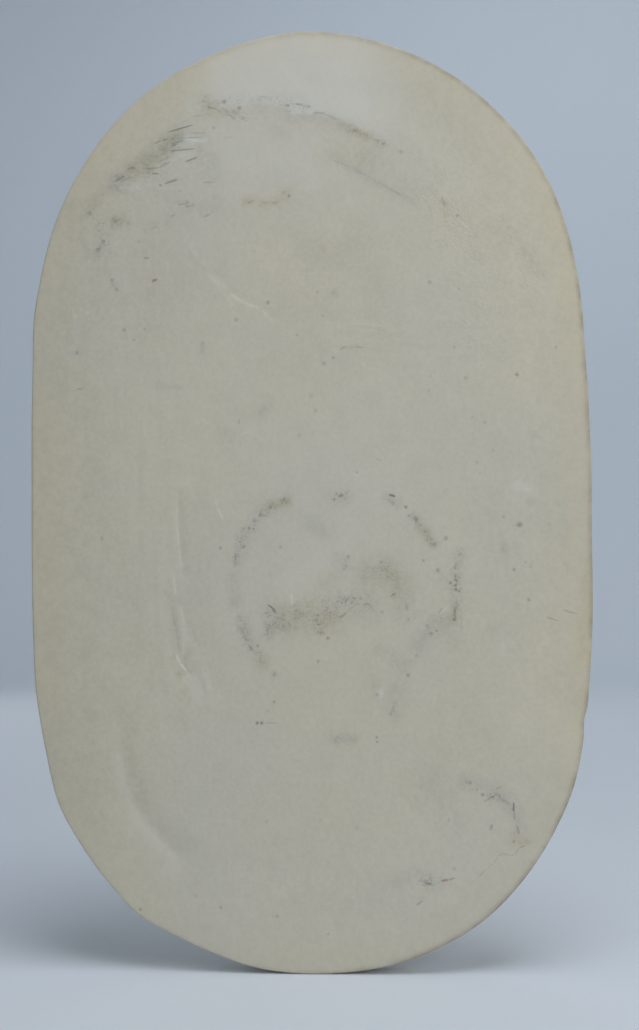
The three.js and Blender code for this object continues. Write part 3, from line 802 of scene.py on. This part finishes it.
def plaque_mesh():
    """One closed skin: a grid bent into the seen side, rings down the edge and rings on the wall side."""
    section = edge_section()
    columns = cells_across + 1
    rows = cells_up + 1
    across, up = np.meshgrid(np.linspace(-1, 1, columns), np.linspace(-1, 1, rows))
    across, up = across.ravel(), up.ravel()
    ring = np.maximum(np.abs(across), np.abs(up))
    angle = np.arctan2(up * half_height, across * half_width)
    edge = edge_radius(angle)
    radius = (edge - seen_corner_radius) * ring
    x, z = radius * np.cos(angle), radius * np.sin(angle)
    drop = seen_side_drop(x, z, edge - radius)
    parts = [np.column_stack((x, drop - thickness, z))]
    faces = []
    for row in range(cells_up):
        for column in range(cells_across):
            corner = row * columns + column
            faces.append((corner, corner + 1, corner + 1 + columns, corner + columns))

    # The grid's border, counter-clockwise as it is seen from the front
    border = list(range(columns))
    border += [row * columns + columns - 1 for row in range(1, rows)]
    border += [(rows - 1) * columns + column for column in range(columns - 2, -1, -1)]
    border += [row * columns for row in range(rows - 2, 0, -1)]
    border_angle, border_edge, border_drop = angle[border], edge[border], drop[border]
    outer = border
    count = columns * rows
    around = len(border)
    for inset, depth in section[1:]:
        reach = border_edge - inset
        level = depth - thickness + border_drop * (1 - depth / thickness)
        parts.append(np.column_stack((reach * np.cos(border_angle), level, reach * np.sin(border_angle))))
        inner = list(range(count, count + around))
        count += around
        for i in range(around):
            j = (i + 1) % around
            faces.append((outer[j], outer[i], inner[i], inner[j]))
        outer = inner

    # The wall side: fewer, wider cells in rings that close on the middle
    thin_angle, thin_edge = border_angle[::wall_side_thinning], border_edge[::wall_side_thinning]
    around_thin = len(thin_angle)
    level = np.zeros(around_thin)
    last_inset = section[-1][0]
    for ring_number in range(1, wall_side_rings):
        share = 1 - ring_number / wall_side_rings
        reach = (thin_edge - last_inset) * share
        parts.append(np.column_stack((reach * np.cos(thin_angle), level, reach * np.sin(thin_angle))))
        inner = list(range(count, count + around_thin))
        count += around_thin
        for i in range(around_thin):
            j = (i + 1) % around_thin
            if ring_number > 1:
                faces.append((outer[j], outer[i], inner[i], inner[j]))
                continue
            fine = [outer[(i * wall_side_thinning + k) % around] for k in range(wall_side_thinning + 1)]
            middle = wall_side_thinning // 2
            faces += [(fine[k + 1], fine[k], inner[i]) for k in range(middle)]
            faces.append((fine[middle], inner[i], inner[j]))
            faces += [(fine[k + 1], fine[k], inner[j]) for k in range(middle, wall_side_thinning)]
        outer = inner
    parts.append(np.zeros((1, 3)))
    faces += [(outer[(i + 1) % around_thin], outer[i], count) for i in range(around_thin)]

    # The fine outline differs from the solid's by less than its facets do: it is fitted to the same box
    places = np.concatenate(parts)
    low, high = places.min(0), places.max(0)
    places = plaque_low + (places - low) * (plaque_high - plaque_low) / (high - low)
    mesh = bpy.data.meshes.new("plaque_cast")
    mesh.from_pydata((places * MM).tolist(), [], faces)
    mesh.polygons.foreach_set("use_smooth", np.ones(len(mesh.polygons), bool))
    set_zones(mesh)
    add_masks(mesh, places)
    return mesh


def set_zones(mesh):
    """Gives each face the material of the zone that its middle is in."""
    middles = np.empty(len(mesh.polygons) * 3)
    mesh.polygons.foreach_get("center", middles)
    middles = middles.reshape(-1, 3) / MM
    column = np.searchsorted(zone_columns, middles[:, 0])
    row = np.searchsorted(zone_rows, middles[:, 2])
    mesh.polygons.foreach_set("material_index", row * (len(zone_columns) + 1) + column)


def zones():
    """The lowest and highest corner of each zone, row by row from the bottom."""
    columns = [-half_width, *zone_columns, half_width + 1]
    rows = [-half_height, *zone_rows, half_height + 1]
    for row in range(len(rows) - 1):
        for column in range(len(columns) - 1):
            yield (columns[column], rows[row]), (columns[column + 1], rows[row + 1])


def reaches(mark, low, high):
    """Whether a mark comes within a zone."""
    ends = [end for end in mark if isinstance(end, tuple)]
    return all(min(end[k] for end in ends) < high[k] + zone_overlap
               and max(end[k] for end in ends) > low[k] - zone_overlap for k in (0, 1))


def add(tree, kind, inputs=(), **settings):
    """Adds a node with its settings. An input is (name or number, value or the node or socket to link)."""
    node = tree.nodes.new("ShaderNode" + kind)
    for name, value in settings.items():
        setattr(node, name, value)
    for key, value in inputs:
        named = [s for s in node.inputs if s.enabled and s.name == key]
        socket = node.inputs[key] if isinstance(key, int) else named[0]
        if isinstance(value, bpy.types.Node):
            value = next(s for s in value.outputs if s.enabled)
        if isinstance(value, bpy.types.NodeSocket):
            tree.links.new(value, socket)
        else:
            socket.default_value = value
    return node


def add_patterns(tree, place):
    """The patterns that patch, streak and roughen the plaster, by name."""
    patterns = {}
    for name, (size, detail) in patches.items():
        patterns[name] = add(tree, "TexNoise", [("Vector", place), ("Scale", 1 / size), ("Detail", detail)])
    for name, (slope, length, width, detail) in dashes.items():
        turned = add(tree, "Mapping", [("Vector", place), ("Rotation", (0, -math.radians(slope), 0)),
                                       ("Scale", (length, 1, width))], vector_type="TEXTURE")
        patterns[name] = add(tree, "TexNoise", [("Vector", turned), ("Scale", 1.0), ("Detail", detail)])
    return patterns


def add_wavering(tree, place):
    """Places shifted a little to and fro, and made shallow, for the single marks to be drawn in."""
    waver = add(tree, "TexNoise", [("Vector", place), ("Scale", 1 / waver_length),
                                   ("Detail", waver_detail)])
    to_and_fro = add(tree, "VectorMath", [(0, waver.outputs["Color"]), (1, (0.5, 0.5, 0.5))],
                     operation="SUBTRACT")
    shallow = add(tree, "VectorMath", [(0, place), (1, (1, depth_share, 1))], operation="MULTIPLY")
    return add(tree, "VectorMath", [(0, to_and_fro), (1, (waver_reach, 0, waver_reach)), (2, shallow)],
               operation="MULTIPLY_ADD")


def add_marks(tree, place, marks):
    """How strongly a place is marked by scratches, as (from, to, width, strength), or by dots, as (centre,
    radius, strength). A scratch is an ellipse about its two ends, strongest on the line between them."""
    strongest = add(tree, "Value")
    for mark in marks:
        ends = [(end[0], seen_level * depth_share, end[1]) for end in mark[:-2]]
        reach, strength = mark[-2:]
        away = [add(tree, "VectorMath", [(0, place), (1, end)], operation="DISTANCE") for end in ends]
        if len(ends) == 1:
            around, nearest, furthest = away[0], 0, reach * dot_spread
        else:
            around = add(tree, "Math", [(0, away[0]), (1, away[1])], operation="ADD")
            nearest = math.dist(*ends)
            furthest = math.hypot(nearest, 2 * reach * scratch_spread)
        fall = strength / (furthest - nearest)
        here = add(tree, "Math", [(0, around), (1, -fall), (2, fall * furthest)], operation="MULTIPLY_ADD")
        strongest = add(tree, "Math", [(0, strongest), (1, here)], operation="MAXIMUM")
    return strongest


def add_colour_layers(tree, place, masks, patterns, uneven, low, high):
    """What lies over the warm plaster in one zone, from the bottom up, as (how much shows, its colour)."""
    layers = []
    for name, (from_level, to_level, most, colour) in casting_patches.items():
        share = add(tree, "MapRange", [("Value", patterns[name]), ("From Min", from_level),
                                       ("From Max", to_level), ("To Max", most)])
        layers.append((share, linear(colour)))

    # The rim has yellowed, and its very edge is darkened with dirt and painted shade, more in some places
    # than in others
    share = add(tree, "Math", [(0, masks["aged"]), (1, aged_strength)], operation="MULTIPLY")
    layers.append((share, linear(rim_yellow)))
    share = add(tree, "Math", [(0, uneven["rim"]), (1, masks["dirty_shaded_edge"])], operation="MULTIPLY")
    layers.append((share, linear(rim_dirt_and_shade)))

    # Soft stains, with painted shade and highlights among them
    broken_up = add(tree, "Math", [(0, uneven["specks"]), (1, uneven["blotches"])], operation="MULTIPLY")
    for name, (colour, most, is_uneven) in veils.items():
        share = masks[name]
        if is_uneven:
            share = add(tree, "Math", [(0, share), (1, broken_up)], operation="MULTIPLY")
        share = add(tree, "Math", [(0, share), (1, most)], operation="MULTIPLY", use_clamp=True)
        layers.append((share, linear(colour)))

    # Dirt in the pores, olive where oil or varnish soaked in. The dirtier a place is, the more pores show.
    colour = add(tree, "Mix", [("Factor", masks["yellowed"]), ("A", linear(dirt_grey)),
                               ("B", linear(dirt_olive))], data_type="RGBA")
    for name in pore_patterns:
        dirty = add(tree, "Math", [(0, masks[name]), (1, uneven["blotches"])], operation="MULTIPLY")
        level = add(tree, "Math", [(0, dirty), (1, -pore_level_sink), (2, pore_level)],
                    operation="MULTIPLY_ADD")
        above = add(tree, "Math", [(0, patterns[name]), (1, level)], operation="SUBTRACT")
        share = add(tree, "MapRange", [("Value", above), ("From Max", pore_level_span),
                                       ("To Max", pore_strength)])
        share = add(tree, "Math", [(0, share), (1, dirty)], operation="MULTIPLY")
        layers.append((share, colour))

    # Single scratches and specks, with painted shade and highlights among them
    wavering = add_wavering(tree, place)
    for marks, colour, strength in single_marks:
        share = add_marks(tree, wavering, [mark for mark in marks if reaches(mark, low, high)])
        share = add(tree, "Math", [(0, share), (1, strength)], operation="MULTIPLY", use_clamp=True)
        layers.append((share, linear(colour)))
    return layers


def make_plaster(low, high):
    """Cast gypsum plaster, struck off with a trowel: matt and chalky, so light spreads evenly over it, with
    the strokes of the tool, pin holes from air in the mix, and pores that have taken up dirt where it was
    rubbed. Shade is painted into its colour in the pin holes, the hair crack, along grooves and creases and
    on the very edge, and highlights on the lit walls of some grooves."""
    material = bpy.data.materials.new("struck_off_gypsum_plaster")
    material.use_nodes = True
    tree = material.node_tree
    shader = tree.nodes["Principled BSDF"]
    shader.inputs["Roughness"].default_value = plaster_roughness
    shader.inputs["Specular IOR Level"].default_value = plaster_specular

    # Places in millimetres, what each has met, and the patterns there
    metres = add(tree, "TexCoord").outputs["Object"]
    place = add(tree, "VectorMath", [(0, metres), ("Scale", 1 / MM)], operation="SCALE")
    masks = {name: add(tree, "Attribute", attribute_name=name).outputs["Fac"]
             for name in [*stains, "kept_clean", "dirty_shaded_edge", "aged"]}
    patterns = add_patterns(tree, place)
    uneven = {}
    for name, (pattern, least, most) in unevenness.items():
        uneven[name] = add(tree, "MapRange", [("Value", patterns[pattern]), ("From Min", pattern_low),
                                              ("From Max", pattern_high), ("To Min", least),
                                              ("To Max", most)])

    colour = linear(plaster_warm)
    for share, over in add_colour_layers(tree, place, masks, patterns, uneven, low, high):
        colour = add(tree, "Mix", [("Factor", share), ("A", colour), ("B", over)], data_type="RGBA")
    tree.links.new(next(s for s in colour.outputs if s.enabled), shader.inputs["Base Color"])

    # Relief too fine for the mesh: the grain, and the ripples of the rough skin
    rippled = add(tree, "Math", [(0, uneven["ripples"]), (1, masks["rippled"])], operation="MULTIPLY")
    ripples = add(tree, "Math", [(0, patterns["ripples"]), (1, rippled)], operation="MULTIPLY")
    grain = add(tree, "Math", [(0, patterns["grain"]), (1, grain_height)], operation="MULTIPLY")
    height = add(tree, "Math", [(0, ripples), (1, ripple_height), (2, grain)], operation="MULTIPLY_ADD")
    bump = add(tree, "Bump", [("Height", height), ("Strength", 1.0), ("Distance", MM)])
    tree.links.new(bump.outputs["Normal"], shader.inputs["Normal"])
    return material


def make_stage():
    """A pale floor that curves up into a wall all round, wide enough for a camera to go round in it."""
    profile = [(bowl_flat_radius * i / bowl_flat_rings, 0.0) for i in range(bowl_flat_rings + 1)]
    for i in range(1, bowl_curve_rings + 1):
        turn = i / bowl_curve_rings * math.pi / 2
        profile.append((bowl_flat_radius + bowl_curve_radius * math.sin(turn),
                        bowl_curve_radius * (1 - math.cos(turn))))
    profile.append((bowl_flat_radius + bowl_curve_radius, bowl_wall_top))
    places = [(0.0, 0.0, floor_level * MM)]
    faces = []
    for step, (radius, height) in enumerate(profile[1:]):
        for i in range(bowl_sides):
            turn = i / bowl_sides * math.tau
            places.append((radius * math.cos(turn), radius * math.sin(turn), floor_level * MM + height))
            j = (i + 1) % bowl_sides
            this = 1 + step * bowl_sides
            before = this - bowl_sides
            if step == 0:
                faces.append((0, this + i, this + j))
            else:
                faces.append((before + i, this + i, this + j, before + j))
    mesh = bpy.data.meshes.new("studio_bowl")
    mesh.from_pydata(places, [], faces)
    mesh.polygons.foreach_set("use_smooth", np.ones(len(mesh.polygons), bool))
    bowl = bpy.data.objects.new("studio_bowl", mesh)
    bpy.context.collection.objects.link(bowl)
    material = bpy.data.materials.new("matt_painted_board")
    material.use_nodes = True
    shader = material.node_tree.nodes["Principled BSDF"]
    shader.inputs["Base Color"].default_value = linear(bowl_colour)
    shader.inputs["Roughness"].default_value = bowl_roughness
    mesh.materials.append(material)


def make_light(name, place, target, size, power, colour):
    data = bpy.data.lights.new(name, "AREA")
    data.shape = "DISK"
    data.size = size
    data.energy = power
    data.color = linear(colour)[:3]
    light = bpy.data.objects.new(name, data)
    light.location = Vector(place)
    light.rotation_euler = (Vector(target) - light.location).to_track_quat("-Z", "Y").to_euler()
    bpy.context.collection.objects.link(light)


def make_camera():
    data = bpy.data.cameras.new("camera")
    data.sensor_fit = "AUTO"
    data.sensor_width = sensor_width
    data.lens = sensor_width * focal_pixels / image_height
    data.clip_start = nearest_shown
    camera = bpy.data.objects.new("camera", data)
    camera.location = Vector((camera_right, seen_level - camera_out, camera_up)) * MM
    camera.rotation_euler = Euler([math.radians(a) for a in camera_turn], "XYZ")
    bpy.context.collection.objects.link(camera)
    bpy.context.scene.camera = camera


mesh = plaque_mesh()
plaque = bpy.data.objects.new("plaque_cast", mesh)
bpy.context.collection.objects.link(plaque)
for low, high in zones():
    mesh.materials.append(make_plaster(low, high))
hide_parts("plaque")
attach(plaque, "root")

make_stage()
for name, settings in lights.items():
    make_light(name, *settings)
make_camera()
world = bpy.data.worlds.new("studio")
world.use_nodes = True
world.node_tree.nodes["Background"].inputs["Color"].default_value = linear(sky_colour)
world.node_tree.nodes["Background"].inputs["Strength"].default_value = sky_strength
bpy.context.scene.world = world
bpy.context.scene.view_settings.view_transform = "Standard"
